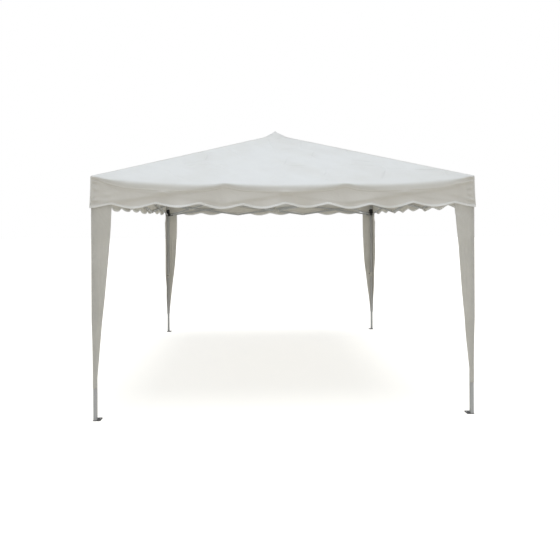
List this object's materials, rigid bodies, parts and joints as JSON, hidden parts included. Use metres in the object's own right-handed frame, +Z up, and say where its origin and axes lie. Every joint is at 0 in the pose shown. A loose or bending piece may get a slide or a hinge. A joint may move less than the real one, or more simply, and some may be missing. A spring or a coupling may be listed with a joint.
{
  "type": "pop up canopy",
  "caption": "Square folding shelter: telescopic corner legs, scissor trusses and a sprung centre pole carry a pyramid fabric cover with a scalloped valance and leg drapes.",
  "frame": {"origin": "on the ground, in the middle of the four legs, with the frame open", "axes": "+Z up; -Y is the front, +X is the right side seen from the front"},
  "size_m": [2.992, 2.992, 2.56],
  "materials": {
    "frame_steel": "satin grey powder coat",
    "black_nylon": "moulded, matt",
    "grey_nylon": "moulded, matt",
    "cover_fabric": "off-white coated polyester, woven"
  },
  "bodies": {
    "upper_leg_front_left": {"upper_leg_front_left": "frame_steel"},
    "lower_leg_front_left": {"lower_leg_front_left": "frame_steel"},
    "slider_front_left": {"slider_front_left": "black_nylon"},
    "slider_button_front_left": {"slider_button_front_left": "black_nylon"},
    "leg_button_front_left": {"leg_button_front_left": "black_nylon"},
    "corner_strut_front_left": {"corner_strut_front_left": "frame_steel"},
    "corner_bar_outer_front_left": {"corner_bar_outer_front_left": "frame_steel"},
    "corner_bar_inner_front_left": {"corner_bar_inner_front_left": "frame_steel"},
    "upper_leg_front_right": {"upper_leg_front_right": "frame_steel"},
    "lower_leg_front_right": {"lower_leg_front_right": "frame_steel"},
    "slider_front_right": {"slider_front_right": "black_nylon"},
    "slider_button_front_right": {"slider_button_front_right": "black_nylon"},
    "leg_button_front_right": {"leg_button_front_right": "black_nylon"},
    "corner_strut_front_right": {"corner_strut_front_right": "frame_steel"},
    "corner_bar_outer_front_right": {"corner_bar_outer_front_right": "frame_steel"},
    "corner_bar_inner_front_right": {"corner_bar_inner_front_right": "frame_steel"},
    "upper_leg_back_right": {"upper_leg_back_right": "frame_steel"},
    "lower_leg_back_right": {"lower_leg_back_right": "frame_steel"},
    "slider_back_right": {"slider_back_right": "black_nylon"},
    "slider_button_back_right": {"slider_button_back_right": "black_nylon"},
    "leg_button_back_right": {"leg_button_back_right": "black_nylon"},
    "corner_strut_back_right": {"corner_strut_back_right": "frame_steel"},
    "corner_bar_outer_back_right": {"corner_bar_outer_back_right": "frame_steel"},
    "corner_bar_inner_back_right": {"corner_bar_inner_back_right": "frame_steel"},
    "upper_leg_back_left": {"upper_leg_back_left": "frame_steel"},
    "lower_leg_back_left": {"lower_leg_back_left": "frame_steel"},
    "slider_back_left": {"slider_back_left": "black_nylon"},
    "slider_button_back_left": {"slider_button_back_left": "black_nylon"},
    "leg_button_back_left": {"leg_button_back_left": "black_nylon"},
    "corner_strut_back_left": {"corner_strut_back_left": "frame_steel"},
    "corner_bar_outer_back_left": {"corner_bar_outer_back_left": "frame_steel"},
    "corner_bar_inner_back_left": {"corner_bar_inner_back_left": "frame_steel"},
    "scissor_front_1_falling": {"scissor_front_1_falling": "frame_steel"},
    "scissor_front_1_rising": {"scissor_front_1_rising": "frame_steel"},
    "scissor_front_2_falling": {"scissor_front_2_falling": "frame_steel"},
    "scissor_front_2_rising": {"scissor_front_2_rising": "frame_steel"},
    "scissor_front_3_falling": {"scissor_front_3_falling": "frame_steel"},
    "scissor_front_3_rising": {"scissor_front_3_rising": "frame_steel"},
    "scissor_right_1_falling": {"scissor_right_1_falling": "frame_steel"},
    "scissor_right_1_rising": {"scissor_right_1_rising": "frame_steel"},
    "scissor_right_2_falling": {"scissor_right_2_falling": "frame_steel"},
    "scissor_right_2_rising": {"scissor_right_2_rising": "frame_steel"},
    "scissor_right_3_falling": {"scissor_right_3_falling": "frame_steel"},
    "scissor_right_3_rising": {"scissor_right_3_rising": "frame_steel"},
    "scissor_back_1_falling": {"scissor_back_1_falling": "frame_steel"},
    "scissor_back_1_rising": {"scissor_back_1_rising": "frame_steel"},
    "scissor_back_2_falling": {"scissor_back_2_falling": "frame_steel"},
    "scissor_back_2_rising": {"scissor_back_2_rising": "frame_steel"},
    "scissor_back_3_falling": {"scissor_back_3_falling": "frame_steel"},
    "scissor_back_3_rising": {"scissor_back_3_rising": "frame_steel"},
    "scissor_left_1_falling": {"scissor_left_1_falling": "frame_steel"},
    "scissor_left_1_rising": {"scissor_left_1_rising": "frame_steel"},
    "scissor_left_2_falling": {"scissor_left_2_falling": "frame_steel"},
    "scissor_left_2_rising": {"scissor_left_2_rising": "frame_steel"},
    "scissor_left_3_falling": {"scissor_left_3_falling": "frame_steel"},
    "scissor_left_3_rising": {"scissor_left_3_rising": "frame_steel"},
    "peak_cap": {"peak_cap": "grey_nylon"},
    "hub": {"center_hub": "grey_nylon", "peak_pole": "frame_steel", "canopy_cover": "cover_fabric"}
  },
  "joints": [
    {"name": "frame_fold", "type": "hinge", "parent": "upper_leg_front_left", "child": "corner_strut_front_left", "pos_m": [-1.44106, -1.44106, 1.814], "axis": [-0.7071, 0.7071, 0], "range_deg": [0, 78.55], "deforming": ["canopy_cover"]},
    {"name": "corner_crossing_front_left", "type": "hinge", "parent": "corner_strut_front_left", "child": "corner_bar_outer_front_left", "pos_m": [-1.10754, -1.10754, 1.744], "axis": [0.7071, -0.7071, 0], "range_deg": [0, 157.1]},
    {"name": "corner_shoulder_front_left", "type": "hinge", "parent": "corner_bar_outer_front_left", "child": "corner_bar_inner_front_left", "pos_m": [-0.73356, -0.73356, 1.82249], "axis": [-0.7071, 0.7071, 0], "range_deg": [0, 157.1]},
    {"name": "hub_pivot_front_left", "type": "hinge", "parent": "corner_bar_inner_front_left", "child": "hub", "pos_m": [-0.02606, -0.02606, 1.674], "axis": [0.7071, -0.7071, 0], "range_deg": [0, 78.55]},
    {"name": "corner_slider_pivot_front_left", "type": "hinge", "parent": "corner_bar_outer_front_left", "child": "slider_front_left", "pos_m": [-1.44106, -1.44106, 1.674], "axis": [-0.7071, 0.7071, 0], "range_deg": [0, 78.55]},
    {"name": "hub_pivot_front_right", "type": "hinge", "parent": "hub", "child": "corner_bar_inner_front_right", "pos_m": [0.02606, -0.02606, 1.674], "axis": [-0.7071, -0.7071, 0], "range_deg": [0, 78.55]},
    {"name": "corner_shoulder_front_right", "type": "hinge", "parent": "corner_bar_inner_front_right", "child": "corner_bar_outer_front_right", "pos_m": [0.73356, -0.73356, 1.82249], "axis": [0.7071, 0.7071, 0], "range_deg": [0, 157.1]},
    {"name": "corner_crossing_front_right", "type": "hinge", "parent": "corner_bar_outer_front_right", "child": "corner_strut_front_right", "pos_m": [1.10754, -1.10754, 1.744], "axis": [-0.7071, -0.7071, 0], "range_deg": [0, 157.1]},
    {"name": "corner_strut_top_front_right", "type": "hinge", "parent": "corner_strut_front_right", "child": "upper_leg_front_right", "pos_m": [1.44106, -1.44106, 1.814], "axis": [0.7071, 0.7071, 0], "range_deg": [0, 78.55]},
    {"name": "corner_slider_pivot_front_right", "type": "hinge", "parent": "corner_bar_outer_front_right", "child": "slider_front_right", "pos_m": [1.44106, -1.44106, 1.674], "axis": [-0.7071, -0.7071, 0], "range_deg": [0, 78.55]},
    {"name": "hub_pivot_back_right", "type": "hinge", "parent": "hub", "child": "corner_bar_inner_back_right", "pos_m": [0.02606, 0.02606, 1.674], "axis": [0.7071, -0.7071, 0], "range_deg": [0, 78.55]},
    {"name": "corner_shoulder_back_right", "type": "hinge", "parent": "corner_bar_inner_back_right", "child": "corner_bar_outer_back_right", "pos_m": [0.73356, 0.73356, 1.82249], "axis": [-0.7071, 0.7071, 0], "range_deg": [0, 157.1]},
    {"name": "corner_crossing_back_right", "type": "hinge", "parent": "corner_bar_outer_back_right", "child": "corner_strut_back_right", "pos_m": [1.10754, 1.10754, 1.744], "axis": [0.7071, -0.7071, 0], "range_deg": [0, 157.1]},
    {"name": "corner_strut_top_back_right", "type": "hinge", "parent": "corner_strut_back_right", "child": "upper_leg_back_right", "pos_m": [1.44106, 1.44106, 1.814], "axis": [-0.7071, 0.7071, 0], "range_deg": [0, 78.55]},
    {"name": "corner_slider_pivot_back_right", "type": "hinge", "parent": "corner_bar_outer_back_right", "child": "slider_back_right", "pos_m": [1.44106, 1.44106, 1.674], "axis": [0.7071, -0.7071, 0], "range_deg": [0, 78.55]},
    {"name": "hub_pivot_back_left", "type": "hinge", "parent": "hub", "child": "corner_bar_inner_back_left", "pos_m": [-0.02606, 0.02606, 1.674], "axis": [0.7071, 0.7071, 0], "range_deg": [0, 78.55]},
    {"name": "corner_shoulder_back_left", "type": "hinge", "parent": "corner_bar_inner_back_left", "child": "corner_bar_outer_back_left", "pos_m": [-0.73356, 0.73356, 1.82249], "axis": [-0.7071, -0.7071, 0], "range_deg": [0, 157.1]},
    {"name": "corner_crossing_back_left", "type": "hinge", "parent": "corner_bar_outer_back_left", "child": "corner_strut_back_left", "pos_m": [-1.10754, 1.10754, 1.744], "axis": [0.7071, 0.7071, 0], "range_deg": [0, 157.1]},
    {"name": "corner_strut_top_back_left", "type": "hinge", "parent": "corner_strut_back_left", "child": "upper_leg_back_left", "pos_m": [-1.44106, 1.44106, 1.814], "axis": [-0.7071, -0.7071, 0], "range_deg": [0, 78.55]},
    {"name": "corner_slider_pivot_back_left", "type": "hinge", "parent": "corner_bar_outer_back_left", "child": "slider_back_left", "pos_m": [-1.44106, 1.44106, 1.674], "axis": [0.7071, 0.7071, 0], "range_deg": [0, 78.55]},
    {"name": "front_top_pivot_start", "type": "hinge", "parent": "upper_leg_front_left", "child": "scissor_front_1_falling", "pos_m": [-1.415, -1.475, 1.814], "axis": [0, 1, 0], "range_deg": [0, 78.55]},
    {"name": "front_crossing_1", "type": "hinge", "parent": "scissor_front_1_falling", "child": "scissor_front_1_rising", "pos_m": [-0.94333, -1.475, 1.744], "axis": [0, -1, 0], "range_deg": [0, 157.1]},
    {"name": "front_top_pivot_1", "type": "hinge", "parent": "scissor_front_1_rising", "child": "scissor_front_2_falling", "pos_m": [-0.47167, -1.475, 1.814], "axis": [0, 1, 0], "range_deg": [0, 157.1]},
    {"name": "front_crossing_2", "type": "hinge", "parent": "scissor_front_2_falling", "child": "scissor_front_2_rising", "pos_m": [0, -1.475, 1.744], "axis": [0, -1, 0], "range_deg": [0, 157.1]},
    {"name": "front_top_pivot_end", "type": "hinge", "parent": "upper_leg_front_right", "child": "scissor_front_3_rising", "pos_m": [1.415, -1.475, 1.814], "axis": [0, -1, 0], "range_deg": [0, 78.55]},
    {"name": "front_crossing_3", "type": "hinge", "parent": "scissor_front_3_rising", "child": "scissor_front_3_falling", "pos_m": [0.94333, -1.475, 1.744], "axis": [0, 1, 0], "range_deg": [0, 157.1]},
    {"name": "right_top_pivot_start", "type": "hinge", "parent": "upper_leg_front_right", "child": "scissor_right_1_falling", "pos_m": [1.475, -1.415, 1.814], "axis": [-1, 0, 0], "range_deg": [0, 78.55]},
    {"name": "right_crossing_1", "type": "hinge", "parent": "scissor_right_1_falling", "child": "scissor_right_1_rising", "pos_m": [1.475, -0.94333, 1.744], "axis": [1, 0, 0], "range_deg": [0, 157.1]},
    {"name": "right_top_pivot_1", "type": "hinge", "parent": "scissor_right_1_rising", "child": "scissor_right_2_falling", "pos_m": [1.475, -0.47167, 1.814], "axis": [-1, 0, 0], "range_deg": [0, 157.1]},
    {"name": "right_crossing_2", "type": "hinge", "parent": "scissor_right_2_falling", "child": "scissor_right_2_rising", "pos_m": [1.475, 0, 1.744], "axis": [1, 0, 0], "range_deg": [0, 157.1]},
    {"name": "right_top_pivot_end", "type": "hinge", "parent": "upper_leg_back_right", "child": "scissor_right_3_rising", "pos_m": [1.475, 1.415, 1.814], "axis": [1, 0, 0], "range_deg": [0, 78.55]},
    {"name": "right_crossing_3", "type": "hinge", "parent": "scissor_right_3_rising", "child": "scissor_right_3_falling", "pos_m": [1.475, 0.94333, 1.744], "axis": [-1, 0, 0], "range_deg": [0, 157.1]},
    {"name": "back_top_pivot_start", "type": "hinge", "parent": "upper_leg_back_right", "child": "scissor_back_1_falling", "pos_m": [1.415, 1.475, 1.814], "axis": [0, -1, 0], "range_deg": [0, 78.55]},
    {"name": "back_crossing_1", "type": "hinge", "parent": "scissor_back_1_falling", "child": "scissor_back_1_rising", "pos_m": [0.94333, 1.475, 1.744], "axis": [0, 1, 0], "range_deg": [0, 157.1]},
    {"name": "back_top_pivot_1", "type": "hinge", "parent": "scissor_back_1_rising", "child": "scissor_back_2_falling", "pos_m": [0.47167, 1.475, 1.814], "axis": [0, -1, 0], "range_deg": [0, 157.1]},
    {"name": "back_crossing_2", "type": "hinge", "parent": "scissor_back_2_falling", "child": "scissor_back_2_rising", "pos_m": [0, 1.475, 1.744], "axis": [0, 1, 0], "range_deg": [0, 157.1]},
    {"name": "back_top_pivot_end", "type": "hinge", "parent": "upper_leg_back_left", "child": "scissor_back_3_rising", "pos_m": [-1.415, 1.475, 1.814], "axis": [0, 1, 0], "range_deg": [0, 78.55]},
    {"name": "back_crossing_3", "type": "hinge", "parent": "scissor_back_3_rising", "child": "scissor_back_3_falling", "pos_m": [-0.94333, 1.475, 1.744], "axis": [0, -1, 0], "range_deg": [0, 157.1]},
    {"name": "left_top_pivot_start", "type": "hinge", "parent": "upper_leg_back_left", "child": "scissor_left_1_falling", "pos_m": [-1.475, 1.415, 1.814], "axis": [1, 0, 0], "range_deg": [0, 78.55]},
    {"name": "left_crossing_1", "type": "hinge", "parent": "scissor_left_1_falling", "child": "scissor_left_1_rising", "pos_m": [-1.475, 0.94333, 1.744], "axis": [-1, 0, 0], "range_deg": [0, 157.1]},
    {"name": "left_top_pivot_1", "type": "hinge", "parent": "scissor_left_1_rising", "child": "scissor_left_2_falling", "pos_m": [-1.475, 0.47167, 1.814], "axis": [1, 0, 0], "range_deg": [0, 157.1]},
    {"name": "left_crossing_2", "type": "hinge", "parent": "scissor_left_2_falling", "child": "scissor_left_2_rising", "pos_m": [-1.475, 0, 1.744], "axis": [-1, 0, 0], "range_deg": [0, 157.1]},
    {"name": "left_top_pivot_end", "type": "hinge", "parent": "upper_leg_front_left", "child": "scissor_left_3_rising", "pos_m": [-1.475, -1.415, 1.814], "axis": [-1, 0, 0], "range_deg": [0, 78.55]},
    {"name": "left_crossing_3", "type": "hinge", "parent": "scissor_left_3_rising", "child": "scissor_left_3_falling", "pos_m": [-1.475, -0.94333, 1.744], "axis": [1, 0, 0], "range_deg": [0, 157.1]},
    {"name": "leg_extension_front_left", "type": "slide", "parent": "upper_leg_front_left", "child": "lower_leg_front_left", "axis": [0, 0, 1], "range_m": [0, 0.74]},
    {"name": "slider_button_press_front_left", "type": "slide", "parent": "slider_front_left", "child": "slider_button_front_left", "axis": [-1, 0, 0], "range_m": [0, 0.0045], "stiffness_N_per_m": 200, "springref_m": -0.005},
    {"name": "leg_button_press_front_left", "type": "slide", "parent": "upper_leg_front_left", "child": "leg_button_front_left", "axis": [-1, 0, 0], "range_m": [0, 0.0045], "stiffness_N_per_m": 200, "springref_m": -0.005},
    {"name": "leg_extension_front_right", "type": "slide", "parent": "upper_leg_front_right", "child": "lower_leg_front_right", "axis": [0, 0, 1], "range_m": [0, 0.74]},
    {"name": "slider_button_press_front_right", "type": "slide", "parent": "slider_front_right", "child": "slider_button_front_right", "axis": [0, -1, 0], "range_m": [0, 0.0045], "stiffness_N_per_m": 200, "springref_m": -0.005},
    {"name": "leg_button_press_front_right", "type": "slide", "parent": "upper_leg_front_right", "child": "leg_button_front_right", "axis": [0, -1, 0], "range_m": [0, 0.0045], "stiffness_N_per_m": 200, "springref_m": -0.005},
    {"name": "leg_extension_back_right", "type": "slide", "parent": "upper_leg_back_right", "child": "lower_leg_back_right", "axis": [0, 0, 1], "range_m": [0, 0.74]},
    {"name": "slider_button_press_back_right", "type": "slide", "parent": "slider_back_right", "child": "slider_button_back_right", "axis": [1, 0, 0], "range_m": [0, 0.0045], "stiffness_N_per_m": 200, "springref_m": -0.005},
    {"name": "leg_button_press_back_right", "type": "slide", "parent": "upper_leg_back_right", "child": "leg_button_back_right", "axis": [1, 0, 0], "range_m": [0, 0.0045], "stiffness_N_per_m": 200, "springref_m": -0.005},
    {"name": "leg_extension_back_left", "type": "slide", "parent": "upper_leg_back_left", "child": "lower_leg_back_left", "axis": [0, 0, 1], "range_m": [0, 0.74]},
    {"name": "slider_button_press_back_left", "type": "slide", "parent": "slider_back_left", "child": "slider_button_back_left", "axis": [0, 1, 0], "range_m": [0, 0.0045], "stiffness_N_per_m": 200, "springref_m": -0.005},
    {"name": "leg_button_press_back_left", "type": "slide", "parent": "upper_leg_back_left", "child": "leg_button_back_left", "axis": [0, 1, 0], "range_m": [0, 0.0045], "stiffness_N_per_m": 200, "springref_m": -0.005},
    {"name": "peak_cap_press", "type": "slide", "parent": "hub", "child": "peak_cap", "axis": [0, 0, -1], "range_m": [0, 0.04], "stiffness_N_per_m": 300, "springref_m": -0.04}
  ],
  "couplings": [
    {"joint": "corner_crossing_front_left", "follows": "frame_fold", "ratio": 2},
    {"joint": "corner_shoulder_front_left", "follows": "frame_fold", "ratio": 2},
    {"joint": "hub_pivot_front_left", "follows": "frame_fold", "ratio": 1},
    {"joint": "corner_slider_pivot_front_left", "follows": "frame_fold", "ratio": 1},
    {"joint": "hub_pivot_front_right", "follows": "frame_fold", "ratio": 1},
    {"joint": "corner_shoulder_front_right", "follows": "frame_fold", "ratio": 2},
    {"joint": "corner_crossing_front_right", "follows": "frame_fold", "ratio": 2},
    {"joint": "corner_strut_top_front_right", "follows": "frame_fold", "ratio": 1},
    {"joint": "corner_slider_pivot_front_right", "follows": "frame_fold", "ratio": 1},
    {"joint": "hub_pivot_back_right", "follows": "frame_fold", "ratio": 1},
    {"joint": "corner_shoulder_back_right", "follows": "frame_fold", "ratio": 2},
    {"joint": "corner_crossing_back_right", "follows": "frame_fold", "ratio": 2},
    {"joint": "corner_strut_top_back_right", "follows": "frame_fold", "ratio": 1},
    {"joint": "corner_slider_pivot_back_right", "follows": "frame_fold", "ratio": 1},
    {"joint": "hub_pivot_back_left", "follows": "frame_fold", "ratio": 1},
    {"joint": "corner_shoulder_back_left", "follows": "frame_fold", "ratio": 2},
    {"joint": "corner_crossing_back_left", "follows": "frame_fold", "ratio": 2},
    {"joint": "corner_strut_top_back_left", "follows": "frame_fold", "ratio": 1},
    {"joint": "corner_slider_pivot_back_left", "follows": "frame_fold", "ratio": 1},
    {"joint": "front_top_pivot_start", "follows": "frame_fold", "ratio": 1},
    {"joint": "front_crossing_1", "follows": "frame_fold", "ratio": 2},
    {"joint": "front_top_pivot_1", "follows": "frame_fold", "ratio": 2},
    {"joint": "front_crossing_2", "follows": "frame_fold", "ratio": 2},
    {"joint": "front_top_pivot_end", "follows": "frame_fold", "ratio": 1},
    {"joint": "front_crossing_3", "follows": "frame_fold", "ratio": 2},
    {"joint": "right_top_pivot_start", "follows": "frame_fold", "ratio": 1},
    {"joint": "right_crossing_1", "follows": "frame_fold", "ratio": 2},
    {"joint": "right_top_pivot_1", "follows": "frame_fold", "ratio": 2},
    {"joint": "right_crossing_2", "follows": "frame_fold", "ratio": 2},
    {"joint": "right_top_pivot_end", "follows": "frame_fold", "ratio": 1},
    {"joint": "right_crossing_3", "follows": "frame_fold", "ratio": 2},
    {"joint": "back_top_pivot_start", "follows": "frame_fold", "ratio": 1},
    {"joint": "back_crossing_1", "follows": "frame_fold", "ratio": 2},
    {"joint": "back_top_pivot_1", "follows": "frame_fold", "ratio": 2},
    {"joint": "back_crossing_2", "follows": "frame_fold", "ratio": 2},
    {"joint": "back_top_pivot_end", "follows": "frame_fold", "ratio": 1},
    {"joint": "back_crossing_3", "follows": "frame_fold", "ratio": 2},
    {"joint": "left_top_pivot_start", "follows": "frame_fold", "ratio": 1},
    {"joint": "left_crossing_1", "follows": "frame_fold", "ratio": 2},
    {"joint": "left_top_pivot_1", "follows": "frame_fold", "ratio": 2},
    {"joint": "left_crossing_2", "follows": "frame_fold", "ratio": 2},
    {"joint": "left_top_pivot_end", "follows": "frame_fold", "ratio": 1},
    {"joint": "left_crossing_3", "follows": "frame_fold", "ratio": 2}
  ]
}
